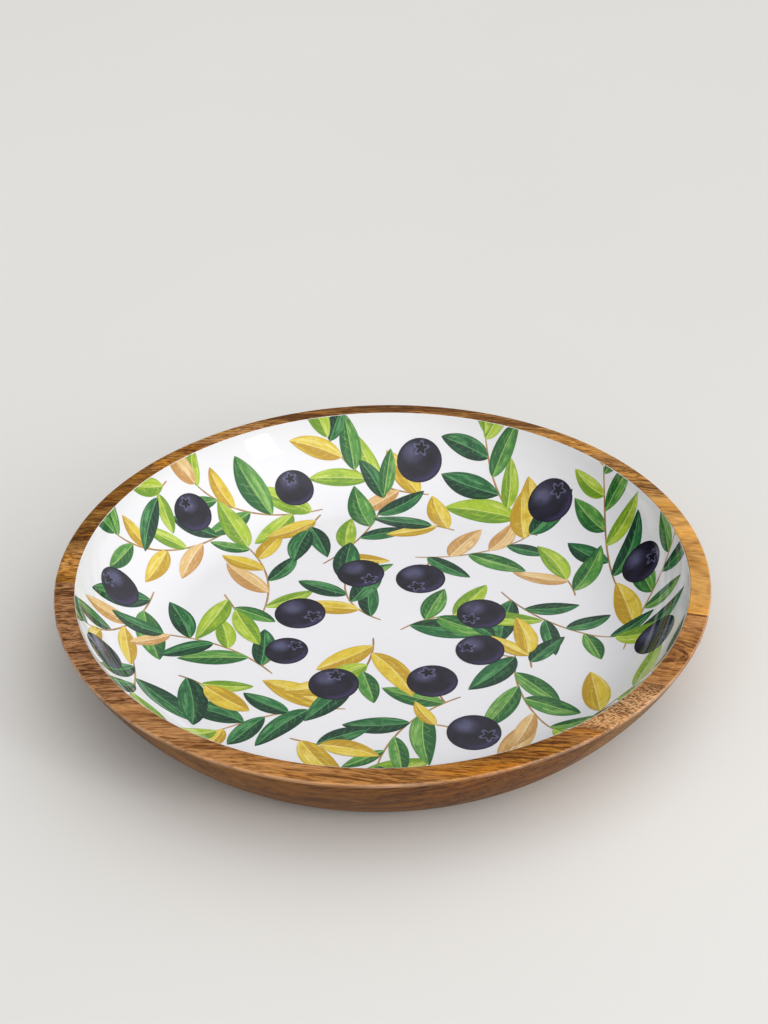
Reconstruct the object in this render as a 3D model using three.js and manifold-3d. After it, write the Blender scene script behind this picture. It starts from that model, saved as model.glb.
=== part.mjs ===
// Round serving platter: a shallow dish turned from a blank of four boards glued edge to edge,
// lined inside with a white lacquer ground and a clear top coat.
// Millimetres, +Z up. The origin is the middle of the flat base, and the boards run along X.

import * as THREE from 'three';
import { mergeVertices } from 'three/addons/utils/BufferGeometryUtils.js';
import Module from 'manifold-3d';

// The turned form
const platterDiameter = 301.2; // where the rim meets the outside wall: 300 once that edge is rounded
const platterHeight = 44; // from the base to the inner edge of the rim, its highest line
const baseDiameter = 234; // where the outside wall's arc would meet the table
const wallRadius = 113; // the outside wall is one arc
const baseEdgeRadius = 6; // rounds the wall into the flat base
const rimWidth = 10; // the sloping top face, before its two edges are rounded
const rimFall = 1.2; // the rim slopes down this much to its outer edge
const rimOuterRadius = 1.2; // rounded outer edge of the rim
const rimInnerRadius = 0.4; // rounded inner edge of the rim
const floorThickness = 9; // wood left under the coats
const coveRadius = 47; // the inside wall is one arc, from the flat floor up to the rim

// The boards, counted from the glue joint nearest the middle
const middleJoint = -22; // where that joint lies in Y
const rearMiddleWidth = 95; // the board behind it
const frontMiddleWidth = 85; // the board in front of it
const blankMargin = 12; // the glued blank before turning is larger than the dish by this much

// The coats on the inside
const groundThickness = 0.3; // white lacquer
const clearThickness = 0.15; // clear lacquer over the print
const coatGap = 0.08; // kept between the wood and the ground, and between the coats

// Facets
const turnSegments = 88; // round the axis
const wallSteps = 8; // along the outside wall
const coveSteps = 9; // along the inside wall
const edgeSteps = 3; // along each rounded edge

const wasm = await Module();
wasm.setup();

// Centre of the arc of the given radius from one point to another that bulges to the right of its way
function arcCentre(from, to, radius) {
  const middle = from.clone().add(to).multiplyScalar(0.5);
  const half = to.clone().sub(from).multiplyScalar(0.5);
  const leftwards = new THREE.Vector2(-half.y, half.x).normalize();
  return middle.addScaledVector(leftwards, Math.sqrt(radius ** 2 - half.lengthSq()));
}

// Where a line through a point meets a circle, the crossing that lies outwards from the axis
function outerCrossing(point, direction, centre, radius) {
  const offset = point.clone().sub(centre);
  const along = offset.dot(direction);
  const root = Math.sqrt(along ** 2 - offset.lengthSq() + radius ** 2);
  const ends = [-along - root, -along + root].map((t) => point.clone().addScaledVector(direction, t));
  return ends[0].x > ends[1].x ? ends[0] : ends[1];
}

// Points on an arc about a centre, from one angle to another, both ends included
function arcPoints(centre, radius, fromAngle, toAngle, steps) {
  const points = [];
  for (let i = 0; i <= steps; i += 1) {
    const angle = THREE.MathUtils.lerp(fromAngle, toAngle, i / steps);
    points.push(new THREE.Vector2(Math.cos(angle), Math.sin(angle)).multiplyScalar(radius).add(centre));
  }
  return points;
}

// Direction of a point as seen from a centre: 0 is outwards, a quarter turn is up
const angleFrom = (centre, point) => Math.atan2(point.y - centre.y, point.x - centre.x);

// A turned solid about +Z from a closed profile of radius and height
function turn(profile) {
  return new THREE.LatheGeometry(profile, turnSegments).rotateX(Math.PI / 2);
}

function toSolid(geometry) {
  const bare = geometry.clone();
  bare.deleteAttribute('normal');
  bare.deleteAttribute('uv');
  const merged = mergeVertices(bare);
  const vertProperties = new Float32Array(merged.attributes.position.array);
  const triVerts = new Uint32Array(merged.index.array);
  return new wasm.Manifold(new wasm.Mesh({ numProp: 3, vertProperties, triVerts }));
}

function toGeometry(solid) {
  const { vertProperties, triVerts } = solid.getMesh();
  const geometry = new THREE.BufferGeometry();
  geometry.setAttribute('position', new THREE.BufferAttribute(vertProperties, 3));
  geometry.setIndex(new THREE.BufferAttribute(triVerts, 1));
  geometry.computeVertexNormals();
  return geometry;
}

// Main lines of the section: radius across, height up
const rimEdge = new THREE.Vector2(platterDiameter / 2, platterHeight - rimFall);
const rimLip = new THREE.Vector2(platterDiameter / 2 - rimWidth, platterHeight);
const baseCorner = new THREE.Vector2(baseDiameter / 2, 0);
const wallCentre = arcCentre(baseCorner, rimEdge, wallRadius);
const insideDepth = platterHeight - floorThickness;
const coveSpan = Math.sqrt(coveRadius ** 2 - (coveRadius - insideDepth) ** 2);
const coveCentre = new THREE.Vector2(rimLip.x - coveSpan, floorThickness + coveRadius);

// Each rounded edge is a small circle that touches a straight face and an arc
const rimSlope = rimEdge.clone().sub(rimLip).normalize();
const underRim = new THREE.Vector2(rimSlope.y, -rimSlope.x);
const outwards = new THREE.Vector2(1, 0);
const upwards = new THREE.Vector2(0, 1);
const baseRound = outerCrossing(
  upwards.clone().multiplyScalar(baseEdgeRadius), outwards, wallCentre, wallRadius - baseEdgeRadius);
const rimRound = outerCrossing(
  rimLip.clone().addScaledVector(underRim, rimOuterRadius), rimSlope, wallCentre, wallRadius - rimOuterRadius);
const lipRound = outerCrossing(
  rimLip.clone().addScaledVector(underRim, rimInnerRadius), rimSlope, coveCentre, coveRadius + rimInnerRadius);

// Directions in which the faces of the section change over
const straightDown = -Math.PI / 2;
const wallStart = angleFrom(wallCentre, baseRound);
const wallEnd = angleFrom(wallCentre, rimRound);
const rimFacing = Math.atan2(-underRim.y, -underRim.x);
const coveTop = angleFrom(coveCentre, lipRound);

// The wooden dish as it comes off the lathe, still one body
function turnedDish() {
  return turn([
    new THREE.Vector2(0, 0),
    ...arcPoints(baseRound, baseEdgeRadius, straightDown, wallStart, edgeSteps).slice(0, -1),
    ...arcPoints(wallCentre, wallRadius, wallStart, wallEnd, wallSteps),
    ...arcPoints(rimRound, rimOuterRadius, wallEnd, rimFacing, edgeSteps).slice(1),
    ...arcPoints(lipRound, rimInnerRadius, rimFacing, coveTop + Math.PI, edgeSteps).slice(0, -1),
    ...arcPoints(coveCentre, coveRadius, coveTop, straightDown, coveSteps),
    new THREE.Vector2(0, floorThickness),
  ]);
}

// A coat that follows the inside from the middle of the floor up to the rim. Its two faces lie
// nearer to the cove's centre than the wood does, by the given depths.
function coat(backDepth, frontDepth) {
  const back = coveRadius - backDepth;
  const front = coveRadius - frontDepth;
  return turn([
    new THREE.Vector2(0, coveCentre.y - back),
    ...arcPoints(coveCentre, back, straightDown, coveTop, coveSteps),
    ...arcPoints(coveCentre, front, coveTop, straightDown, coveSteps),
    new THREE.Vector2(0, coveCentre.y - front),
  ]);
}

// The stretch of the glued blank that one board takes up
const blankEdge = platterDiameter / 2 + blankMargin;
function boardBlank(frontEdge, rearEdge) {
  const outline = new THREE.Shape();
  outline.moveTo(-blankEdge, frontEdge);
  outline.lineTo(blankEdge, frontEdge);
  outline.lineTo(blankEdge, rearEdge);
  outline.lineTo(-blankEdge, rearEdge);
  const depth = platterHeight + 2 * blankMargin;
  return new THREE.ExtrudeGeometry(outline, { depth, bevelEnabled: false }).translate(0, 0, -blankMargin);
}

const platter = new THREE.Group();

function addPiece(name, geometry, finish) {
  const piece = new THREE.Mesh(geometry, new THREE.MeshStandardMaterial({ metalness: 0, ...finish }));
  piece.name = name;
  platter.add(piece);
}

// The boards, from the rear to the front, meeting face to face at the glue joints
const rearJoint = middleJoint + rearMiddleWidth;
const frontJoint = middleJoint - frontMiddleWidth;
const boards = [
  { name: 'rear_board', front: rearJoint, rear: blankEdge, color: 0x85562f },
  { name: 'rear_middle_board', front: middleJoint, rear: rearJoint, color: 0xc48d4c },
  { name: 'front_middle_board', front: frontJoint, rear: middleJoint, color: 0x976738 },
  { name: 'front_board', front: -blankEdge, rear: frontJoint, color: 0xa5642d },
];
const dish = toSolid(turnedDish());
for (const { name, front, rear, color } of boards) {
  const board = dish.intersect(toSolid(boardBlank(front, rear)));
  addPiece(name, toGeometry(board), { color, roughness: 0.5 });
}

// The coats, the white one on the wood and the clear one over it
const groundFace = coatGap + groundThickness;
const clearBack = groundFace + coatGap;
addPiece('white_ground_coat', coat(coatGap, groundFace), { color: 0xf4f4f2, roughness: 0.35 });
addPiece('clear_top_coat', coat(clearBack, clearBack + clearThickness), {
  color: 0xffffff,
  roughness: 0.08,
  transparent: true,
  opacity: 0.35,
});

export default platter;
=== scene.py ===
# Round platter: boards turned to a shallow dish, white lacquer inside, printed sprigs under a clear gloss
import math
import random

import bpy
from mathutils import Matrix, Vector


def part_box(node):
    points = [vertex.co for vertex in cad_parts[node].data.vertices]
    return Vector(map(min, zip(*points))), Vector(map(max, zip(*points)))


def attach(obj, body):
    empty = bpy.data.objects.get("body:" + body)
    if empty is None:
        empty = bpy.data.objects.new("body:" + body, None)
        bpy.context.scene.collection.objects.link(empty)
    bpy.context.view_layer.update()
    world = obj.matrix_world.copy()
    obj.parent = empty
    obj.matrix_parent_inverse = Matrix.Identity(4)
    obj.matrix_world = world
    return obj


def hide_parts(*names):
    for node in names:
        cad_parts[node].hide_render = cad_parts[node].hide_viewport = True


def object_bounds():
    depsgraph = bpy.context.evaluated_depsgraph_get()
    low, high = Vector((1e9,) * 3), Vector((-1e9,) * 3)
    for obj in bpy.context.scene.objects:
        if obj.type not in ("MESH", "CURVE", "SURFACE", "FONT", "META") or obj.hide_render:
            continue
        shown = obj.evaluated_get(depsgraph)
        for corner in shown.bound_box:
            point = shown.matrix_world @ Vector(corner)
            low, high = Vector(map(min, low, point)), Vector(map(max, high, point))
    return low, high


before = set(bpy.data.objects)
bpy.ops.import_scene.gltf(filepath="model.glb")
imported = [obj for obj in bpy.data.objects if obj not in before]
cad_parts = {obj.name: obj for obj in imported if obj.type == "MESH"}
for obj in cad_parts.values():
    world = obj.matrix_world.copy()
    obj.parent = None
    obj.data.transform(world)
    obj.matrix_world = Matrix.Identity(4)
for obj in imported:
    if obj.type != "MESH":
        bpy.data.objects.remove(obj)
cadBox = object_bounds()
mm = 0.001
print("frame:", sorted(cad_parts))


# Nodes written as expressions

def findSocket(sockets, key):
    if isinstance(key, int):
        return sockets[key]
    for socket in sockets:
        if key in (socket.identifier, socket.name) and not socket.is_unavailable:
            return socket
    raise KeyError(key)


class Wire:
    # a socket that takes part in sums: numbers go through Math nodes, vectors through Vector Math
    def __init__(self, tree, socket=None):
        self.tree = tree
        self.socket = socket

    # any node at all: its settings first, then what its sockets hold or are linked to
    def make(self, kind, settings=None, inputs=None, out=0):
        node = self.tree.nodes.new(kind)
        for name, value in (settings or {}).items():
            if name == "stops":
                fillRamp(node.color_ramp, value)
            else:
                setattr(node, name, value)
        for key, value in (inputs or {}).items():
            socket = findSocket(node.inputs, key)
            if isinstance(value, Wire):
                self.tree.links.new(value.socket, socket)
            else:
                socket.default_value = value
        return Wire(self.tree, findSocket(node.outputs, out)) if node.outputs else node

    def other(self, key):
        return Wire(self.tree, findSocket(self.socket.node.outputs, key))

    def isVector(self):
        return self.socket.type in ("VECTOR", "RGBA")

    def pair(self, operation, a, b):
        vectors = [isinstance(s, (Vector, tuple)) or isinstance(s, Wire) and s.isVector() for s in (a, b)]
        if not any(vectors):
            return self.make("ShaderNodeMath", {"operation": operation}, {0: a, 1: b})
        if operation == "MULTIPLY" and not all(vectors):
            along, size = (a, b) if vectors[0] else (b, a)
            return self.make("ShaderNodeVectorMath", {"operation": "SCALE"}, {0: along, "Scale": size})
        return self.make("ShaderNodeVectorMath", {"operation": operation}, {0: a, 1: b})

    def __add__(self, b): return self.pair("ADD", self, b)
    def __radd__(self, a): return self.pair("ADD", a, self)
    def __sub__(self, b): return self.pair("SUBTRACT", self, b)
    def __rsub__(self, a): return self.pair("SUBTRACT", a, self)
    def __mul__(self, b): return self.pair("MULTIPLY", self, b)
    def __rmul__(self, a): return self.pair("MULTIPLY", a, self)
    def __truediv__(self, b): return self.pair("DIVIDE", self, b)
    def __rtruediv__(self, a): return self.pair("DIVIDE", a, self)
    def __pow__(self, b): return self.pair("POWER", self, b)
    def __gt__(self, b): return self.pair("GREATER_THAN", self, b)
    def __abs__(self): return self.one("ABSOLUTE")

    def one(self, operation):
        return self.make("ShaderNodeMath", {"operation": operation}, {0: self})

    def length(self):
        return self.make("ShaderNodeVectorMath", {"operation": "LENGTH"}, {0: self}, "Value")

    def unit(self):
        return self.make("ShaderNodeVectorMath", {"operation": "NORMALIZE"}, {0: self})

    def parts(self):
        split = self.make("ShaderNodeSeparateXYZ", None, {0: self}, "X")
        return split, split.other("Y"), split.other("Z")

    # 0 below low, 1 above high, eased in between
    def ease(self, low, high):
        return self.make("ShaderNodeMapRange", {"interpolation_type": "SMOOTHSTEP"},
                         {"Value": self, "From Min": low, "From Max": high}, "Result")

    # a mask that blends two colours
    def blend(self, colourA, colourB, how="MIX"):
        return self.make("ShaderNodeMix", {"data_type": "RGBA", "blend_type": how},
                         {"Factor_Float": self, "A_Color": colourA, "B_Color": colourB}, "Result_Color")

    def noise(self, scale=1.0, detail=2.0, rough=0.5, out="Fac"):
        return self.make("ShaderNodeTexNoise", None,
                         {"Vector": self, "Scale": scale, "Detail": detail, "Roughness": rough}, out)


def fillRamp(ramp, stops):
    while len(ramp.elements) < len(stops):
        ramp.elements.new(1.0)
    for element, (place, colour) in zip(ramp.elements, stops):
        element.position = place
        element.color = colour


# a colour as a painter's eye reads it, 0 to 255, made linear
def tone(red, green, blue):
    def linear(v):
        v /= 255
        return v / 12.92 if v <= 0.04045 else ((v + 0.055) / 1.055) ** 2.4
    return (linear(red), linear(green), linear(blue), 1.0)


def newMaterial(name):
    material = bpy.data.materials.new(name)
    material.use_nodes = True
    material.node_tree.nodes.clear()
    return material, Wire(material.node_tree)


def finishMaterial(wire, shader):
    wire.make("ShaderNodeOutputMaterial", None, {"Surface": shader})


# Turned section: radius across, height up, with the wood as on the CAD solids

section = {
    "rimCorner": 150.6 * mm,
    "height": 44.0 * mm,
    "baseCorner": 117.0 * mm,
    "wallRadius": 113.0 * mm,
    "baseEdge": 6.0 * mm,
    "rimWidth": 10.0 * mm,
    "rimFall": 1.2 * mm,
    "rimOuter": 1.2 * mm,
    "rimInner": 0.4 * mm,
    "floor": 9.0 * mm,
    "coveRadius": 47.0 * mm,
    "coatBack": 0.08 * mm,
    "coatFront": 0.61 * mm,
    "coatThin": 0.2 * mm,  # the coat is rubbed down to this at the lip
    "coatFeather": 12.0 * mm,
    "coatEdge": 0.05 * mm,
}
steps = {"baseEdge": 6, "wall": 18, "rimOuter": 8, "rimInner": 5, "cove": 16,
         "coatBack": 24, "coatEdge": 6, "coatFront": 40, "coatFloor": 12}


def arcCentre(start, end, radius):
    half = (end - start) / 2
    leftwards = Vector((-half.y, half.x)).normalized()
    return start + half + leftwards * math.sqrt(radius ** 2 - half.length_squared)


def outerCrossing(point, direction, centre, radius):
    offset = point - centre
    along = offset.dot(direction)
    root = math.sqrt(along ** 2 - offset.length_squared + radius ** 2)
    return max((point + direction * (root - along), point - direction * (root + along)), key=lambda p: p.x)


def polar(angle, size=1.0):
    return Vector((math.cos(angle), math.sin(angle))) * size


def arcPoints(centre, radius, start, end, steps):
    return [centre + polar(start + (end - start) * i / steps, radius) for i in range(steps + 1)]


def angleFrom(centre, point):
    return math.atan2(point.y - centre.y, point.x - centre.x)


straightDown = -math.pi / 2
rimEdge = Vector((section["rimCorner"], section["height"] - section["rimFall"]))
rimLip = Vector((section["rimCorner"] - section["rimWidth"], section["height"]))
wallCentre = arcCentre(Vector((section["baseCorner"], 0)), rimEdge, section["wallRadius"])
coveDrop = section["coveRadius"] - (section["height"] - section["floor"])
coveReach = math.sqrt(section["coveRadius"] ** 2 - coveDrop ** 2)
coveCentre = Vector((rimLip.x - coveReach, section["floor"] + section["coveRadius"]))
rimSlope = (rimEdge - rimLip).normalized()
underRim = Vector((rimSlope.y, -rimSlope.x))
lipRound = outerCrossing(rimLip + underRim * section["rimInner"], rimSlope,
                         coveCentre, section["coveRadius"] + section["rimInner"])
coveTop = angleFrom(coveCentre, lipRound)
featherStart = coveTop - section["coatFeather"] / section["coveRadius"]


# how far the glossy face stands off the wood, by direction from the cove's centre
def coatDepth(angle):
    share = min(max((angle - featherStart) / (coveTop - featherStart), 0), 1)
    return section["coatFront"] + (section["coatThin"] - section["coatFront"]) * share ** 2 * (3 - 2 * share)


def woodSection():
    wallRadius, baseEdge, rimOuter = section["wallRadius"], section["baseEdge"], section["rimOuter"]
    baseRound = outerCrossing(Vector((0, baseEdge)), Vector((1, 0)), wallCentre, wallRadius - baseEdge)
    rimRound = outerCrossing(rimLip + underRim * rimOuter, rimSlope, wallCentre, wallRadius - rimOuter)
    wallStart = angleFrom(wallCentre, baseRound)
    wallEnd = angleFrom(wallCentre, rimRound)
    rimFacing = math.atan2(-underRim.y, -underRim.x)
    return [
        Vector((0, 0)),
        *arcPoints(baseRound, baseEdge, straightDown, wallStart, steps["baseEdge"])[:-1],
        *arcPoints(wallCentre, wallRadius, wallStart, wallEnd, steps["wall"]),
        *arcPoints(rimRound, rimOuter, wallEnd, rimFacing, steps["rimOuter"])[1:],
        *arcPoints(lipRound, section["rimInner"], rimFacing, coveTop + math.pi, steps["rimInner"])[:-1],
        *arcPoints(coveCentre, section["coveRadius"], coveTop, straightDown, steps["cove"]),
        Vector((0, section["floor"])),
    ]


# the two coats together: their back on the wood, their front the glossy face, its top edge rounded
def coatSection():
    cove, edge = section["coveRadius"], section["coatEdge"]
    back, floor = cove - section["coatBack"], section["floor"] + section["coatFront"]
    below = coveTop - edge / cove
    edgeRound = coveCentre + polar(below, cove - coatDepth(below) + edge)
    facing = below + math.pi / 2
    down, inwards = steps["coatFront"], steps["coatFloor"]
    angles = [below + (straightDown - below) * i / down for i in range(1, down + 1)]
    return [
        Vector((0, coveCentre.y - back)),
        *arcPoints(coveCentre, back, straightDown, coveTop, steps["coatBack"]),
        *arcPoints(edgeRound, edge, facing, facing + math.pi / 2, steps["coatEdge"]),
        *[coveCentre + polar(angle, cove - coatDepth(angle)) for angle in angles],
        *[Vector((coveCentre.x * (1 - i / inwards), floor)) for i in range(1, inwards + 1)],
    ]


# Geometry Nodes that turn a section into a solid, and cut a board out of it

turning = {"segments": 256, "weld": 0.01 * mm, "blank": 0.4, "sharpFrom": 40}


def newTree(name, sockets):
    tree = bpy.data.node_groups.new(name, "GeometryNodeTree")
    tree.interface.new_socket("Geometry", in_out="INPUT", socket_type="NodeSocketGeometry")
    for label, kind in sockets:
        tree.interface.new_socket(label, in_out="INPUT", socket_type="NodeSocket" + kind)
    tree.interface.new_socket("Geometry", in_out="OUTPUT", socket_type="NodeSocketGeometry")
    return tree, Wire(tree).make("NodeGroupInput")


def endTree(wire, material):
    painted = wire.make("GeometryNodeSetMaterial", None, {"Geometry": wire, "Material": material})
    painted.make("NodeGroupOutput", None, {"Geometry": painted})


def turnedTree(name, isBoard):
    sockets = [("Segments", "Int"), ("Weld", "Float"), ("Material", "Material")]
    if isBoard:
        sockets += [("Front edge", "Float"), ("Rear edge", "Float"), ("Blank", "Float")]
    tree, given = newTree(name, sockets)
    line = given.make("GeometryNodeMeshToCurve", None, {"Mesh": given})
    circle = given.make("GeometryNodeCurvePrimitiveCircle", {"mode": "RADIUS"},
                        {"Resolution": given.other("Segments"), "Radius": 1.0})
    circle = given.make("GeometryNodeSetCurveNormal", {"mode": "Z_UP"}, {"Curve": circle})
    body = given.make("GeometryNodeCurveToMesh", None, {"Curve": circle, "Profile Curve": line})
    body = given.make("GeometryNodeMergeByDistance", None,
                      {"Geometry": body, "Distance": given.other("Weld")})
    body = given.make("GeometryNodeSetShadeSmooth", None, {"Geometry": body})
    if isBoard:
        front, rear, blank = given.other("Front edge"), given.other("Rear edge"), given.other("Blank")
        size = given.make("ShaderNodeCombineXYZ", None, {"X": blank, "Y": rear - front, "Z": blank})
        middle = given.make("ShaderNodeCombineXYZ", None, {"Y": (front + rear) * 0.5})
        cube = given.make("GeometryNodeMeshCube", None, {"Size": size})
        cube = given.make("GeometryNodeTransform", None, {"Geometry": cube, "Translation": middle})
        body = given.make("GeometryNodeMeshBoolean", {"operation": "INTERSECT", "solver": "EXACT"},
                          {"Mesh 2": body}, "Mesh")
        tree.links.new(cube.socket, body.socket.node.inputs["Mesh 2"])
    body = given.make("GeometryNodeRealizeInstances", None, {"Geometry": body})
    endTree(body, given.other("Material"))
    return tree


# runs a tree on a mesh and keeps the outcome as a plain mesh
def runTree(name, mesh, tree, values):
    holder = bpy.data.objects.new(name, mesh)
    bpy.context.scene.collection.objects.link(holder)
    modifier = holder.modifiers.new(name, "NODES")
    modifier.node_group = tree
    for item in tree.interface.items_tree:
        if item.in_out == "INPUT" and item.name in values:
            modifier[item.identifier] = values[item.name]
    bpy.context.view_layer.update()
    graph = bpy.context.evaluated_depsgraph_get()
    result = bpy.data.meshes.new_from_object(holder.evaluated_get(graph))
    holder.modifiers.clear()
    holder.data = result
    result.name = name
    return holder


# a section as a string of edges, set out from the circle of radius 1 that the sweep follows
def lineMesh(name, points):
    mesh = bpy.data.meshes.new(name)
    corners = [(p.x - 1, -p.y, 0) for p in reversed(points)]
    mesh.from_pydata(corners, [(i, i + 1) for i in range(len(points) - 1)], [])
    return mesh


def place(piece, slot, *nodes):
    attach(piece, "root")
    if nodes:
        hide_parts(*nodes)
    print(piece.name, len(piece.data.polygons), "faces")


# Wood: one solid grain for every board, with its own tones, pores and figure

boards = {  # a pair goes from a board's left end to its right end
    "rear_board": {
        "slot": "brown_board", "seed": 3.1, "pith": 146, "left": (168, 118, 57), "right": (182, 132, 69),
        "gold": (0.9, 0.5), "pores": (1.0, 0.7), "pits": (1.2, 0.9), "fine": (3.2, 2.6), "lines": (3.0, 2.8),
        "growth": (0.3, 0.35),
        "band": {"at": 112, "width": 15, "tone": (188, 138, 80), "share": (1.0, 0.55)},
        "dusk": {"from": 128, "over": 6, "deep": 0.54},
    },
    "rear_middle_board": {
        "slot": "honey_board", "seed": 8.7, "pith": 12, "left": (144, 100, 42), "right": (204, 151, 79),
        "gold": (0.7, 0.4), "pores": (1.0, 0.1), "pits": (1.3, 0.1), "fine": (3.8, 1.3), "lines": (3.2, 1.3),
        "growth": (0.3, 0.4),
        "band": {"at": -5, "width": 14, "tone": (182, 132, 74), "share": (1.0, 0.0)},
    },
    "front_middle_board": {
        "slot": "figured_board", "seed": 5.4, "pith": -84, "left": (157, 111, 72), "right": (166, 114, 62),
        "gold": (0.1, 0.25), "pores": (0.5, 0.1), "pits": (1.2, 0.5), "fine": (4.2, 2.8), "lines": (2.1, 3.0),
        "growth": (0.4, 0.3),
        "band": {"at": -92, "width": 19, "tone": (176, 127, 80), "share": (0.0, 1.0)},
        "flecks": (0.0, 1.0),
        "knot": {"at": (130.0, -52.5), "size": 9.0},
    },
    "front_board": {
        "slot": "russet_board", "seed": 1.9, "pith": -122, "left": (180, 129, 80), "right": (152, 98, 28),
        "gold": (0.1, 0.9), "pores": (0.3, 0.45), "pits": (0.4, 0.9), "fine": (2.4, 3.6), "lines": (1.0, 3.2),
        "growth": (0.2, 0.5),
        "band": {"at": -111, "width": 8, "tone": (158, 108, 62), "share": (1.0, 0.5)},
    },
}
# how often each figure of the grain repeats in a millimetre: along the board, across it and through it
grain = {
    "drift": (0.008, 0.022, 0.022), "bands": (0.004, 0.085, 0.085), "streaks": (0.007, 0.24, 0.24),
    "fine": (0.06, 1.0, 1.0), "crowd": (0.02, 0.14, 0.14), "dashes": (0.085, 1.3, 1.3),
    "specks": (0.2, 2.0, 2.0), "patches": (0.018, 0.085, 0.085), "flecks": (0.42, 1.7, 1.0),
}
wood = {
    "wander": 16, "yearWidth": 5.5, "pithDepth": 40.0, "endsFrom": 90, "endsWander": 120, "bandWander": 26,
    "fleckTurns": (38, -28), "edgeRadius": (149.1, 149.7), "edgeHeight": (40.8, 41.8),
    "glueLine": (0.08, 0.35), "rubbedTo": (0.1, 1.6), "gloss": 0.15, "edgeRough": 0.22,
}
# what a dark streak, a pale streak, a golden patch and the oil outside, with painted shade, do to the ground
# tone
darker, paler, golden = (0.40, 0.31, 0.22, 1), (1.32, 1.36, 1.46, 1), (1.17, 1.0, 0.36, 1)
oilAndShade = (0.45, 0.385, 0.175, 1)
# the painted highlight tone of the rim's outer edge, and the flecks' own pale tone
rimHighlightTone, fleckTone = (226, 180, 138), (226, 186, 138)


# short flecks that lie askew to the grain, in two crossing directions
def fleckWeave(wire, spot, shift):
    x, y, z = spot.parts()

    def lay(turn):
        c, s = math.cos(math.radians(turn)), math.sin(math.radians(turn))
        turned = wire.make("ShaderNodeCombineXYZ", None, {"X": x * c + y * s, "Y": y * c - x * s, "Z": z})
        return ((turned + shift) * grain["flecks"]).noise(1, 1, 0.5).ease(0.49, 0.63)

    first, second = (lay(turn) for turn in wood["fleckTurns"])
    return wire.make("ShaderNodeMath", {"operation": "MAXIMUM"}, {0: first, 1: second})


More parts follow.
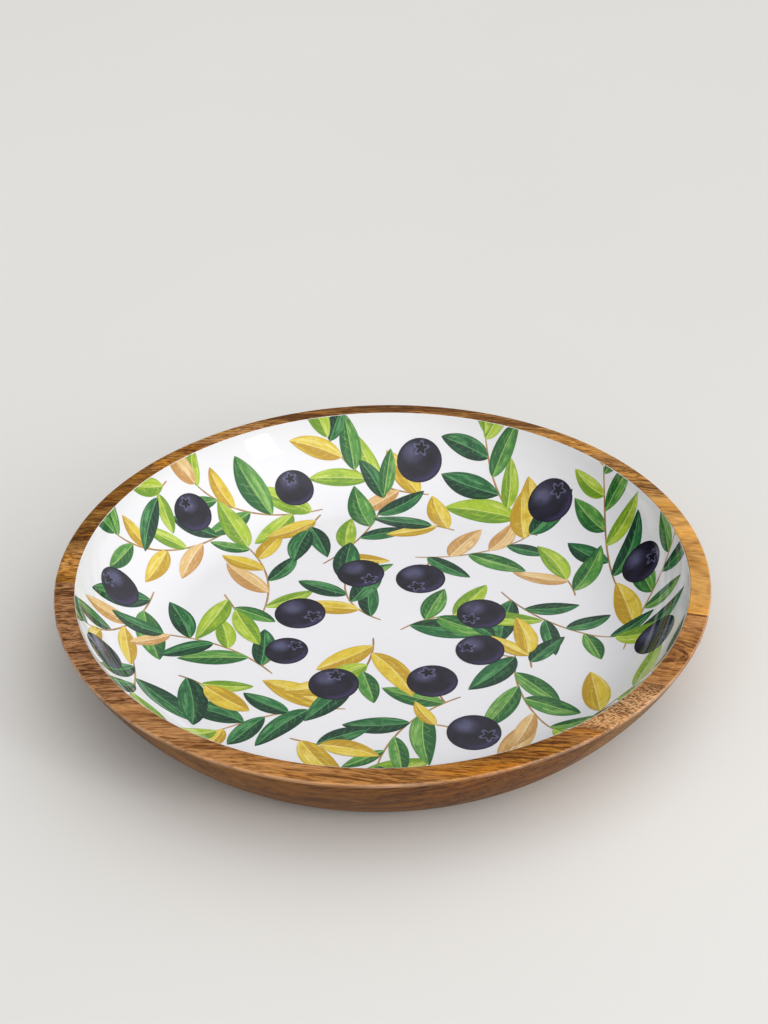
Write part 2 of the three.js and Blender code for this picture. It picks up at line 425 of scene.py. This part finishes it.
def woodMaterial(name, look, edges):
    material, wire = newMaterial(name)
    spot = wire.make("ShaderNodeTexCoord", out="Object") * (1 / mm)
    x, y, z = spot.parts()
    shift = (look["seed"] * 71, look["seed"] * 37, look["seed"] * 53)
    drift = ((spot + shift) * grain["drift"]).noise(1, 2, 0.5, "Color") - (0.5, 0.5, 0.5)
    bent = spot + drift * (0, wood["wander"], wood["wander"])
    knot = look.get("knot")
    if knot:  # the grain parts round a knot
        away = ((spot - (*knot["at"], 0)) * (0.6, 1, 0)).length() * (1 / knot["size"])
        part = 1 - away.ease(0.0, 2.6)
        aside = {"Y": part * (y - knot["at"][1]) * -0.7, "Z": part * knot["size"]}
        bent = bent + wire.make("ShaderNodeCombineXYZ", None, aside)
    bent = bent + shift
    bands = (bent * grain["bands"]).noise(1, 2, 0.5)
    streaks = (bent * grain["streaks"]).noise(1, 3, 0.68)
    fine = (bent * grain["fine"]).noise(1, 2, 0.6)
    crowd = (bent * grain["crowd"]).noise(1, 2, 0.5)
    dashes = (bent * grain["dashes"]).noise(1, 1, 0.5).ease(0.54, 0.60) * crowd.ease(0.34, 0.52)
    specks = (bent * grain["specks"]).noise(1, 1, 0.5)
    patches = (bent * grain["patches"]).noise(1, 2, 0.5).ease(0.46, 0.60)
    pith = (0, look["pith"] + shift[1], shift[2] - wood["pithDepth"])
    years = ((bent - pith) * (0, 1, 1)).length() * (1 / wood["yearWidth"])
    growth = 1 - abs(years.one("FRACT") - 0.5).ease(0.02, 0.12)
    side = (x + (crowd - 0.5) * wood["endsWander"]).ease(-wood["endsFrom"], wood["endsFrom"])

    def across(pair):  # a value that goes from a board's left end to its right end
        return pair[0] + side * (pair[1] - pair[0])

    # ground tone with a band and golden patches
    colour = side.blend(tone(*look["left"]), tone(*look["right"]))
    band = look["band"]
    offBand = abs(y + (bands - 0.5) * wood["bandWander"] - band["at"]) / band["width"]
    inBand = (1 - offBand.ease(0.3, 1.2)) * across(band["share"])
    colour = inBand.blend(colour, tone(*band["tone"]))
    colour = (patches * across(look["gold"])).blend(colour, golden, "MULTIPLY")

    # light and dark streaks, calmer on end grain, then flecks and growth rings
    facing = wire.make("ShaderNodeNewGeometry", out="Normal").parts()
    endGrain = abs(facing[0]).ease(0.45, 1.0)
    shade = (bands - 0.5) * 1.2 + (streaks - 0.5) * across(look["lines"])
    shade = shade + (fine - 0.5) * across(look["fine"])
    dusk = look.get("dusk")
    if dusk:  # the rearmost wood is darker
        behind = y + (bands - 0.5) * wood["wander"] - dusk["from"]
        shade = shade - behind.ease(0, dusk["over"]) * dusk["deep"]
    shade = shade * (1 - endGrain * 0.6)
    flecks = look.get("flecks")
    if flecks:
        weave = fleckWeave(wire, spot, shift)
        figure = across(flecks) * (0.05 + 0.95 * inBand)
        shade = shade + (weave * 0.9 - 0.46) * figure
    colour = shade.ease(0.0, 0.42).blend(colour, paler, "MULTIPLY")
    colour = (0 - shade).ease(0.0, 0.55).blend(colour, darker, "MULTIPLY")
    if flecks:
        colour = (weave * figure * 0.5).blend(colour, tone(*fleckTone))
    colour = (growth * across(look["growth"])).blend(colour, darker, "MULTIPLY")

    # pores and pits, fewer on the oiled outside and the burnished rim edge, and the knot's rings
    outside = 1 - facing[2].ease(0.1, 0.6)
    radius = (spot * (1, 1, 0)).length()
    # the burnished rim edge: glossier and less porous, and also given a painted highlight below
    burnishAndHighlight = radius.ease(*wood["edgeRadius"]) * z.ease(*wood["edgeHeight"])
    burnishAndHighlight = burnishAndHighlight * (0.4 + 0.6 * crowd.ease(0.35, 0.65))
    colour = ((1 - specks).ease(0.56, 0.66) * across(look["pits"]) * 0.7).blend(colour, paler, "MULTIPLY")
    pores = dashes * across(look["pores"]) + specks.ease(0.55, 0.64) * across(look["pits"])
    pores = pores * (1 - outside * 0.55) * (1 - burnishAndHighlight * 0.8)
    colour = pores.blend(colour, darker, "MULTIPLY")
    if knot:
        rings = 1 - abs((away * 1.7 + streaks * 1.2).one("FRACT") - 0.5).ease(0.03, 0.16)
        colour = (rings * part * 0.8).blend(colour, darker, "MULTIPLY")
        colour = ((1 - away.ease(0.1, 0.9)) * 0.6).blend(colour, darker, "MULTIPLY")

    # glue lines, end grain, the outside's oil and painted shade, the burnished rim edge with its painted
    # highlight, and the rubbed base
    for edge in edges:
        colour = ((1 - abs(y - edge).ease(*wood["glueLine"])) * 0.4).blend(colour, darker, "MULTIPLY")
    colour = (endGrain * 0.25).blend(colour, darker, "MULTIPLY")
    # painted shade: the outside wall, which faces sideways and down, is darkened, partly for its deeper oil
    colour = outside.blend(colour, oilAndShade, "MULTIPLY")
    # painted highlight: the rim's outer edge is lightened towards a cream line where light catches it
    colour = (burnishAndHighlight * 0.4).blend(colour, tone(*rimHighlightTone))
    rub = (1 - z.ease(*wood["rubbedTo"])) * (spot * 0.05).noise(1, 3).ease(0.4, 0.65)
    colour = (rub * 0.6).blend(colour, paler, "MULTIPLY")

    tooling = wire.make("ShaderNodeCombineXYZ", None, {"X": radius * 1.1, "Y": z * 0.9}).noise(1, 2, 0.6)
    height = fine * 0.03 - pores * 0.08 + streaks * 0.03 + tooling * 0.012
    bump = wire.make("ShaderNodeBump", None, {"Height": height, "Distance": mm, "Strength": 0.8})
    rough = 0.42 + fine * 0.12 + pores * 0.2 - burnishAndHighlight * 0.12 + rub * 0.08
    shader = wire.make("ShaderNodeBsdfPrincipled", None, {
        "Base Color": colour, "Roughness": rough, "Normal": bump, "Specular IOR Level": wood["gloss"],
        "Coat Weight": burnishAndHighlight, "Coat Roughness": wood["edgeRough"]})
    finishMaterial(wire, shader)
    return material


boardTree = turnedTree("turnedBoard", True)
profile = woodSection()
reachFit = cadBox[1].x / max(p.x for p in profile)
profile = [Vector((p.x * reachFit, min(p.y, cadBox[1].z))) for p in profile]
outermost = 0.999 * cadBox[1].y
for node, look in boards.items():
    ends = [corner.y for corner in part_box(node)]
    edges = [e / mm for e in ends if abs(e) < outermost]  # the glue joints among them
    ends = [e if abs(e) < outermost else math.copysign(turning["blank"] / 2, e) for e in ends]
    piece = runTree(node + "_wood", lineMesh(node, profile), boardTree, {
        "Segments": turning["segments"], "Weld": turning["weld"],
        "Material": woodMaterial(node + "_grain", look, edges),
        "Front edge": ends[0], "Rear edge": ends[1], "Blank": turning["blank"]})
    piece.data.set_sharp_from_angle(angle=math.radians(turning["sharpFrom"]))
    place(piece, look["slot"], node)


# Lacquer: white under a clear gloss

lacquer = {"white": (239, 238, 242), "shade": (236, 235, 239), "cloudScale": 0.018, "rough": 0.045,
           "smudge": 0.03, "smudgeScale": 0.03, "flow": 0.35, "flowScale": 0.022}


def lacquerShader(wire, colour):
    spot = wire.make("ShaderNodeTexCoord", out="Object") * (1 / mm)
    flow = (spot * lacquer["flowScale"]).noise(1, 2, 0.45) * lacquer["flow"]
    bump = wire.make("ShaderNodeBump", None, {"Height": flow, "Distance": mm, "Strength": 0.6})
    smudge = (spot * lacquer["smudgeScale"]).noise(1, 4, 0.6).ease(0.5, 0.8)
    return wire.make("ShaderNodeBsdfPrincipled", None, {
        "Base Color": colour, "Roughness": lacquer["rough"] + smudge * lacquer["smudge"], "Normal": bump})


def whiteMaterial():
    material, wire = newMaterial("whiteLacquer")
    spot = wire.make("ShaderNodeTexCoord", out="Object") * (1 / mm)
    cloud = (spot * lacquer["cloudScale"]).noise(1, 3, 0.55).ease(0.3, 0.7)
    colour = cloud.blend(tone(*lacquer["white"]), tone(*lacquer["shade"]))
    finishMaterial(wire, lacquerShader(wire, colour))
    return material


lining = runTree("lacquer_lining", lineMesh("lining", coatSection()), turnedTree("turnedLining", False), {
    "Segments": turning["segments"], "Weld": turning["weld"], "Material": whiteMaterial()})
place(lining, "white_lacquer", "white_ground_coat", "clear_top_coat")

# Print: sprigs of leaf and berry, drawn flat and laid on the lining, cut off at its edge

sprigs = {
    "seed": 124, "turn": -8.0, "margin": 0.1,
    "outer": {"count": 12, "radius": 112.0, "length": 66.0, "heading": 68.0, "bend": 0.18,
              "leaves": 7, "berries": 1},
    "middle": {"count": 8, "radius": 60.0, "length": 60.0, "heading": -64.0, "bend": -0.2,
               "leaves": 6, "berries": 1},
    "inner": {"count": 3, "radius": 8.0, "length": 38.0, "heading": 20.0, "bend": 0.25,
              "leaves": 5, "berries": 0},
    "gaps": {"tries": 1200, "clear": 5.332, "reach": 146.0, "berryShare": 0.36, "berryBack": 13,
             "twigLength": (11, 17), "leafLength": (15, 20), "leafTurn": 2.4},
    "leafLength": (25.0, 39.0), "leafWidth": (0.16, 0.21), "leafBend": (-0.12, 0.12),
    "leafPointing": (0.78, 0.95), "leafSkew": (0.75, 0.95), "leafAside": (32, 56), "endLeaf": (26, 33),
    "berryRadius": (10.0, 12.2), "berryAside": (75, 110), "berryAt": (0.12, 0.26), "stalk": (5, 8),
    "stemWidth": 0.5, "trailSteps": 8, "touchGap": 1.5, "touchReach": 70,
    "liftStep": 0.022, "liftFirst": 0.03, "sink": 0.06, "weld": 0.002, "alongSteps": 20, "acrossSteps": 6,
}


def bezier(start, middle, tip, t):
    return start * (1 - t) ** 2 + middle * (2 * t * (1 - t)) + tip * t ** 2


def slope(start, middle, tip, t):
    ahead = (middle - start) * (1 - t) + (tip - middle) * t
    return math.atan2(ahead.y, ahead.x)


def drawSprigs():
    rng = random.Random(sprigs["seed"])
    turn = math.radians(sprigs["turn"])
    motifs = []

    def stroke(kind, start, heading, size, width, bend, pointing, skew):
        tip = start + polar(heading, size)
        middle = (start + tip) / 2 + polar(heading + math.pi / 2, bend * size)
        shares = [i / sprigs["trailSteps"] for i in range(sprigs["trailSteps"] + 1)]
        trail = [(bezier(start, middle, tip, t), width * (4 * t * (1 - t)) ** pointing) for t in shares]
        motifs.append({
            "kind": kind, "start": start, "middle": middle, "tip": tip, "half": width, "pointing": pointing,
            "skew": skew, "tint": rng.random(), "seed": rng.random(), "trail": trail})
        return start, middle, tip

    def leaf(start, heading, size):
        stroke("leaf", start, heading, size, size * rng.uniform(*sprigs["leafWidth"]),
               rng.uniform(*sprigs["leafBend"]), rng.uniform(*sprigs["leafPointing"]),
               rng.uniform(*sprigs["leafSkew"]))

    def berry(start, heading):
        radius = rng.uniform(*sprigs["berryRadius"])
        stalk = rng.uniform(*sprigs["stalk"])
        stroke("stem", start, heading, stalk + 3, sprigs["stemWidth"], 0.08, 0.12, 1.0)
        stroke("berry", start + polar(heading, stalk), heading, 2 * radius, radius, 0, 0.5, 1.0)

    def toSide(i, angles):  # left and right by turns
        return (1 if i % 2 else -1) * math.radians(rng.uniform(*angles))

    def sprig(root, heading, size, bend, leaves, berries):
        bend = bend * rng.uniform(0.7, 1.3)
        path = stroke("stem", root, heading, size, sprigs["stemWidth"], bend, 0.14, 0.9)
        for i in range(leaves):
            t = min((i + 0.7 + rng.uniform(-0.15, 0.15)) / leaves, 0.97)
            aside = toSide(i, sprigs["leafAside"])
            length = rng.uniform(*sprigs["leafLength"]) * (1.05 - 0.25 * t)
            leaf(bezier(*path, t), slope(*path, t) + aside, length)
        leaf(path[2], slope(*path, 1), rng.uniform(*sprigs["endLeaf"]))
        for i in range(berries):
            t = sprigs["berryAt"][0] + sprigs["berryAt"][1] * i
            berry(bezier(*path, t), slope(*path, t) + toSide(i, sprigs["berryAside"]))

    for name in ("outer", "middle", "inner"):
        rule = sprigs[name]
        for i in range(rule["count"]):
            angle = turn + 2 * math.pi * (i + rng.uniform(-0.1, 0.1)) / rule["count"]
            root = polar(angle, rule["radius"] * rng.uniform(0.94, 1.06))
            heading = angle + math.radians(rule["heading"] * rng.uniform(0.88, 1.12))
            size = rule["length"] * rng.uniform(0.92, 1.08)
            sprig(root, heading, size, rule["bend"], rule["leaves"], rule["berries"])

    # twigs and berries in what gaps are left
    gaps = sprigs["gaps"]
    for _ in range(gaps["tries"]):
        angle, reach = turn + rng.uniform(0, 2 * math.pi), gaps["reach"] * math.sqrt(rng.random())
        middle = polar(angle, reach)
        heading = angle + math.pi / 2 + rng.uniform(-0.8, 0.8)
        size = rng.uniform(*gaps["twigLength"])
        spots = (middle, middle + polar(heading, size), middle - polar(heading, size * 0.6))
        room = min((p - q).length - w for m in motifs for p, w in m["trail"] for q in spots)
        if room < gaps["clear"]:
            continue
        if rng.random() < gaps["berryShare"]:
            root = middle - polar(heading, gaps["berryBack"])
            berry(root, heading)
            leaf(root, heading + gaps["leafTurn"], rng.uniform(*gaps["leafLength"]))
        else:
            root = middle - polar(heading, size * 0.8)
            sprig(root, heading, size, rng.uniform(-0.2, 0.2), 2, 0)
    return layer(motifs)


# overlapping motifs get different lifts: stems lowest, berries highest
def layer(motifs):
    order = {"stem": 0, "leaf": 1, "berry": 2}
    motifs.sort(key=lambda m: order[m["kind"]])
    for i, m in enumerate(motifs):
        under = [n["level"] for n in motifs[:i] if touches(n, m)]
        m["level"] = max(under, default=-1) + 1
    print("print:", len(motifs), "motifs on", max(m["level"] for m in motifs) + 1, "levels")
    return motifs


def touches(a, b):
    if ((a["start"] + a["tip"] - b["start"] - b["tip"]) / 2).length > sprigs["touchReach"]:
        return False
    return any((p - q).length < v + w + sprigs["touchGap"] for p, v in a["trail"] for q, w in b["trail"])


# Geometry Nodes: one thin slab per motif, bent along its path and wrapped on floor and wall

def printTree(name):
    tree, given = newTree(name, [
        ("Along steps", "Int"), ("Across steps", "Int"), ("Floor radius", "Float"), ("Floor height", "Float"),
        ("Cove radius", "Float"), ("Thin from", "Float"), ("Thin to", "Float"), ("Thin by", "Float"),
        ("Edge", "Float"), ("Sink", "Float"), ("Weld", "Float"), ("Material", "Material")])

    def keep(geometry, label, value, kind="FLOAT"):
        return given.make("GeometryNodeStoreNamedAttribute", {"data_type": kind, "domain": "POINT"},
                          {"Geometry": geometry, "Name": label, "Value": value})

    def read(label, kind="FLOAT"):
        return given.make("GeometryNodeInputNamedAttribute", {"data_type": kind},
                          {"Name": label}, "Attribute")

    slab = given.make("GeometryNodeMeshCube", None, {
        "Size": (1, 1, 1), "Vertices X": given.other("Along steps"),
        "Vertices Y": given.other("Across steps"), "Vertices Z": 2})
    x, y, z = given.make("GeometryNodeInputPosition").parts()
    slab = keep(slab, "along", 0.5 - 0.5 * ((x + 0.5) * math.pi).one("COSINE"))  # steps crowd at both ends
    slab = keep(slab, "across", y * 2)
    slab = keep(slab, "top", z + 0.5)
    many = given.make("GeometryNodeInstanceOnPoints", None, {"Points": given, "Instance": slab})
    many = given.make("GeometryNodeRealizeInstances", None, {"Geometry": many})

    along, across, top = read("along"), read("across"), read("top")
    start, middle, tip = (read(label, "FLOAT_VECTOR") for label in ("start", "middle", "tip"))
    back = 1 - along
    path = start * (back * back) + middle * (2 * along * back) + tip * (along * along)
    ahead = ((middle - start) * back + (tip - middle) * along).unit()
    aside = given.make("ShaderNodeVectorMath", {"operation": "CROSS_PRODUCT"}, {0: (0, 0, 1), 1: ahead})
    swell = along ** read("skew")
    spread = read("half") * (4 * swell * (1 - swell)) ** read("pointing")
    flat = path + aside * (across * spread)
    reach = flat.length()
    cut = reach > given.other("Edge")
    many = keep(many, "cut", cut)
    many = given.make("GeometryNodeDeleteGeometry", {"domain": "FACE"},
                      {"Geometry": many, "Selection": read("cut") > 0.99})
    reach = given.make("ShaderNodeMath", {"operation": "MINIMUM"}, {0: reach, 1: given.other("Edge")})
    floorRadius, coveRadius = given.other("Floor radius"), given.other("Cove radius")
    past = given.make("ShaderNodeMath", {"operation": "MAXIMUM"}, {0: reach - floorRadius, 1: 0})
    onFloor = given.make("ShaderNodeMath", {"operation": "MINIMUM"}, {0: reach, 1: floorRadius})
    bend = past / coveRadius
    thinned = bend.ease(given.other("Thin from"), given.other("Thin to")) * given.other("Thin by")
    depth = (read("lift") * top - given.other("Sink") * (1 - top)) * (1 - cut) - thinned  # nothing at the cut
    ring = onFloor + (coveRadius - depth) * bend.one("SINE")
    rise = given.other("Floor height") + coveRadius - (coveRadius - depth) * bend.one("COSINE")
    lifted = given.make("ShaderNodeCombineXYZ", None, {"Z": rise})
    many = keep(many, "spread", spread * (1 / mm))
    many = keep(many, "offset", (flat - (start + tip) * 0.5) * (1 / mm), "FLOAT_VECTOR")
    many = given.make("GeometryNodeSetPosition", None,
                      {"Geometry": many, "Position": flat.unit() * ring + lifted})
    many = given.make("GeometryNodeMergeByDistance", None,
                      {"Geometry": many, "Distance": given.other("Weld")})
    many = given.make("GeometryNodeSetShadeSmooth", None, {"Geometry": many})
    many = given.make("GeometryNodeRealizeInstances", None, {"Geometry": many})
    endTree(many, given.other("Material"))
    return tree


def motifMesh(name, motifs):
    mesh = bpy.data.meshes.new(name)
    mesh.from_pydata([(0, 0, 0)] * len(motifs), [], [])
    for label in ("start", "middle", "tip"):
        layerData = mesh.attributes.new(label, "FLOAT_VECTOR", "POINT").data
        for item, m in zip(layerData, motifs):
            item.vector = (m[label] * mm).to_3d()
    lifts = [(sprigs["liftFirst"] + sprigs["liftStep"] * m["level"]) * mm for m in motifs]
    values = {"lift": lifts, "half": [m["half"] * mm for m in motifs]}
    for label in ("pointing", "skew", "tint", "seed"):
        values[label] = [m[label] for m in motifs]
    for label, numbers in values.items():
        mesh.attributes.new(label, "FLOAT", "POINT").data.foreach_set("value", numbers)
    return mesh


# the print shines with the lining's own curve, so its thin edges don't show
def liningNormals(mesh):
    step = 0.01
    normals = []
    for vertex in mesh.vertices:
        flat = vertex.co.to_2d()
        outwards = flat.normalized()
        angle = straightDown  # on the floor
        if flat.length > coveCentre.x:
            angle = angleFrom(coveCentre, Vector((flat.length, vertex.co.z)))
        lean = (coatDepth(angle + step) - coatDepth(angle - step)) / (2 * step * section["coveRadius"])
        facing = -polar(angle) - polar(angle + math.pi / 2) * lean
        normals.append(Vector((*(outwards * facing.x), facing.y)).normalized()[:])
    mesh.normals_split_custom_set_from_vertices(normals)


def attribute(wire, label, out="Fac"):
    return wire.make("ShaderNodeAttribute", {"attribute_name": label}, None, out)


def washes(wire):
    spot = wire.make("ShaderNodeTexCoord", out="Object") * (1 / mm)
    seed = attribute(wire, "seed")
    wash = (spot * 0.14 + wire.make("ShaderNodeCombineXYZ", None, {"Z": seed * 60})).noise(1, 3, 0.55)
    return spot, seed, wash, (spot * 1.5).noise(1, 3, 0.6)


# each tint of leaf holds its own share of the range
def palette(wire, tint, colours):
    stops = [(share, tone(*colour)) for share, colour in zip(leafTones["shares"], colours)]
    ramp = wire.make("ShaderNodeValToRGB", {"stops": stops}, {"Fac": tint}, "Color")
    ramp.socket.node.color_ramp.interpolation = "CONSTANT"
    return ramp


leafTones = {
    "main": [(36, 104, 58), (80, 146, 62), (170, 198, 52), (226, 198, 60), (228, 190, 126)],
    "deep": [(22, 56, 40), (36, 94, 48), (108, 150, 40), (190, 150, 38), (196, 146, 84)],
    "pale": [(104, 168, 104), (164, 202, 112), (218, 226, 128), (246, 230, 146), (248, 226, 184)],
    "shares": (0.0, 0.27, 0.50, 0.72, 0.91), "veins": 7.0, "slant": 1.2,
}


def leafMaterial():
    material, wire = newMaterial("leafInk")
    spot, seed, wash, grainy = washes(wire)
    tint, along, across, spread = (attribute(wire, label) for label in ("tint", "along", "across", "spread"))
    main, deep, pale = (palette(wire, tint, leafTones[label]) for label in ("main", "deep", "pale"))
    outwards = abs(across)
    brush = wire.make("ShaderNodeCombineXYZ", None, {"X": along * 2.2, "Y": across * 3.2, "Z": seed * 90})
    brush = brush.noise(1, 3, 0.6)
    colour = (across.ease(-0.1, 0.1) * brush.ease(0.25, 0.55)).blend(main, deep)
    colour = ((1 - across.ease(-0.25, 0.25)) * brush.ease(0.46, 0.66) * 0.75).blend(colour, pale)
    colour = ((1 - wash).ease(0.5, 0.72) * 0.6).blend(colour, deep)
    colour = (along.ease(0.55, 1.0) * seed.ease(0.4, 0.9) * 0.5).blend(colour, deep)
    vein = (along * leafTones["veins"] - outwards * leafTones["slant"]).one("FRACT")
    vein = 1 - abs(vein - 0.5).ease(0.03, 0.11)
    colour = (vein * (1 - outwards.ease(0.5, 0.95)) * wash.ease(0.3, 0.6) * 0.24).blend(colour, pale)
    rib = (1 - (outwards * spread).ease(0.10, 0.36)) * (1 - along.ease(0.80, 0.96))
    colour = (rib * 0.8).blend(colour, pale)
    colour = (outwards.ease(0.70, 0.98) * wash.ease(0.3, 0.7) * 0.6).blend(colour, deep)
    colour = (grainy.ease(0.5, 0.8) * 0.25).blend(colour, deep)
    fleck = (spot * (0.9, 0.5, 0.5)).noise(1, 2).ease(0.66, 0.72) * (1 - outwards.ease(0.4, 0.8))
    colour = (fleck * 0.6).blend(colour, pale)
    finishMaterial(wire, lacquerShader(wire, colour))
    return material


berryTones = {"skin": (30, 27, 46), "deep": (12, 11, 20), "bloom": (104, 104, 142), "glow": (66, 54, 98),
              "crownAt": 0.56, "crownSize": 0.21}


def berryMaterial():
    material, wire = newMaterial("berryInk")
    _, _, wash, grainy = washes(wire)
    along, across, spread = (attribute(wire, label) for label in ("along", "across", "spread"))
    half = attribute(wire, "half") * (1 / mm)
    local = attribute(wire, "offset", "Vector") * (1 / half)
    out = local.length()
    colour = wash.ease(0.35, 0.7).blend(tone(*berryTones["skin"]), tone(*berryTones["deep"]))
    bloom = (1 - (local - (-0.34, 0.36, 0)).length().ease(0.08, 0.62)) * (0.45 + 0.55 * wash.ease(0.3, 0.6))
    colour = (bloom * 0.65).blend(colour, tone(*berryTones["bloom"]))
    u, v, _ = local.parts()
    rim = out.ease(0.62, 0.90) * (1 - out.ease(0.92, 1.0)) * (u - v).ease(0.3, 1.2)
    colour = (rim * 0.7).blend(colour, tone(*berryTones["glow"]))
    upAxis = (along - 0.5) * 2 - berryTones["crownAt"]
    overAxis = across * spread / half
    turn = wire.make("ShaderNodeMath", {"operation": "ARCTAN2"}, {0: overAxis, 1: upAxis})
    star = berryTones["crownSize"] * (1 + 0.34 * (turn * 5).one("COSINE"))
    near = (upAxis * upAxis + overAxis * overAxis).one("SQRT") / star
    colour = ((1 - near.ease(1.25, 1.5)) * 0.7).blend(colour, tone(*berryTones["bloom"]))
    colour = (1 - near.ease(0.85, 1.1)).blend(colour, tone(*(0.7 * c for c in berryTones["deep"])))
    colour = (out.ease(0.86, 1.0) * 0.7).blend(colour, tone(*berryTones["deep"]))
    colour = (grainy.ease(0.5, 0.8) * 0.3).blend(colour, tone(*berryTones["glow"]))
    finishMaterial(wire, lacquerShader(wire, colour))
    return material


stemTones = {"pale": (206, 166, 106), "brown": (132, 92, 54)}


def stemMaterial():
    material, wire = newMaterial("stemInk")
    _, seed, wash, grainy = washes(wire)
    across = attribute(wire, "across")
    shade = 0.3 * seed + wash.ease(0.3, 0.7) * 0.5 + across.ease(0.0, 0.8) * 0.35
    colour = shade.blend(tone(*stemTones["pale"]), tone(*stemTones["brown"]))
    colour = (grainy.ease(0.5, 0.8) * 0.3).blend(colour, tone(*stemTones["brown"]))
    finishMaterial(wire, lacquerShader(wire, colour))
    return material


motifs = drawSprigs()
coatRadius = section["coveRadius"] - section["coatFront"]
printEdge = coveCentre.x + coatRadius * (coveTop - straightDown) - section["coatEdge"] - sprigs["margin"] * mm
inkTree = printTree("printStrokes")
inks = {"stem": ("print_stems", stemMaterial), "leaf": ("print_leaves", leafMaterial),
        "berry": ("print_berries", berryMaterial)}
for kind, (pieceName, ink) in inks.items():
    piece = runTree(pieceName, motifMesh(pieceName, [m for m in motifs if m["kind"] == kind]), inkTree, {
        "Along steps": sprigs["alongSteps"] + 1, "Across steps": sprigs["acrossSteps"] + 1,
        "Floor radius": coveCentre.x, "Floor height": section["floor"] + section["coatFront"],
        "Cove radius": coatRadius,
        "Thin from": featherStart - straightDown, "Thin to": coveTop - straightDown,
        "Thin by": section["coatFront"] - section["coatThin"], "Edge": printEdge, "Sink": sprigs["sink"] * mm,
        "Weld": sprigs["weld"] * mm, "Material": ink()})
    for label in ("start", "middle", "tip", "lift", "pointing", "skew", "top", "cut"):
        piece.data.attributes.remove(piece.data.attributes[label])
    liningNormals(piece.data)
    place(piece, "white_lacquer")


# Floor, light and camera

studio = {
    "floor": (232, 230, 226), "floorSize": 40.0, "panelFrom": 0.2,
    "panels": [
        {"azimuth": 20.0, "height": 40.0, "level": 0.88},
        {"azimuth": -95.0, "height": 35.0, "level": 0.97},
        {"azimuth": -36.0, "height": 20.0, "level": 0.18},
        {"azimuth": 100.0, "height": 35.0, "level": 0.15},
        {"azimuth": 0.0, "height": 90.0, "level": 0.16},
    ],
    "lamps": [
        {"name": "key", "power": 0.76, "size": (0.20, 0.52), "distance": 1.2, "azimuth": -34.5,
         "height": 22.0, "aimHeight": 0.03, "spread": 90},  # a narrow cone, to spare the floor near the lamp
    ],
}
lens = {"place": (100.9 * mm, -821.5 * mm, 622.7 * mm), "yaw": 6.9, "pitch": 56.53, "roll": -1.18,
        "sensor": 36.0, "focal": 77.34}


def floorMaterial():
    material, wire = newMaterial("paleFloor")
    spot = wire.make("ShaderNodeTexCoord", out="Object")
    grey = (spot * 3.0).noise(1, 3).ease(0.2, 0.8)
    colour = grey.blend(tone(*studio["floor"]), tone(*(c - 3 for c in studio["floor"])))
    shader = wire.make("ShaderNodeBsdfPrincipled", None, {"Base Color": colour, "Roughness": 0.8})
    finishMaterial(wire, shader)
    return material


def heading(azimuth, height):
    turn, rise = math.radians(azimuth), math.radians(height)
    return Vector((math.cos(turn) * math.cos(rise), math.sin(turn) * math.cos(rise), math.sin(rise)))


def buildStudio():
    scene = bpy.context.scene
    half = studio["floorSize"] / 2
    mesh = bpy.data.meshes.new("floor")
    corners = [(-half, -half, 0), (half, -half, 0), (half, half, 0), (-half, half, 0)]
    mesh.from_pydata(corners, [], [(0, 1, 2, 3)])
    mesh.materials.append(floorMaterial())
    floor = bpy.data.objects.new("floor", mesh)
    scene.collection.objects.link(floor)

    world = bpy.data.worlds.new("studio")
    world.use_nodes = True
    world.node_tree.nodes.clear()
    wire = Wire(world.node_tree)
    look = wire.make("ShaderNodeTexCoord", out="Generated")
    soft = 0.0
    for panel in studio["panels"]:
        towards = heading(panel["azimuth"], panel["height"])
        along = wire.make("ShaderNodeVectorMath", {"operation": "DOT_PRODUCT"},
                          {0: look, 1: towards}, "Value")
        soft = soft + along.ease(studio["panelFrom"], 1.0) * panel["level"]
    sky = wire.make("ShaderNodeBackground", None, {"Color": (1, 1, 1, 1), "Strength": soft})
    wire.make("ShaderNodeOutputWorld", None, {"Surface": sky})
    scene.world = world

    for lamp in studio["lamps"]:
        aim = heading(lamp["azimuth"], lamp["height"])
        light = bpy.data.objects.new(lamp["name"], bpy.data.lights.new(lamp["name"], "AREA"))
        light.data.shape = "RECTANGLE"
        light.data.size, light.data.size_y = lamp["size"]
        light.data.energy = lamp["power"]
        light.data.spread = math.radians(lamp["spread"])
        light.location = aim * lamp["distance"] + Vector((0, 0, lamp["aimHeight"]))
        light.rotation_euler = (-aim).to_track_quat("-Z", "Y").to_euler()
        scene.collection.objects.link(light)

    camera = bpy.data.objects.new("camera", bpy.data.cameras.new("camera"))
    camera.data.sensor_width = lens["sensor"]
    camera.data.lens = lens["focal"]
    turns = [Matrix.Rotation(math.radians(lens[name]), 4, axis)
             for name, axis in (("yaw", "Z"), ("pitch", "X"), ("roll", "Z"))]
    camera.matrix_world = Matrix.Translation(lens["place"]) @ turns[0] @ turns[1] @ turns[2]
    scene.collection.objects.link(camera)
    scene.camera = camera
    scene.view_settings.view_transform = "Standard"
    print("studio: one soft key, even fill")


buildStudio()
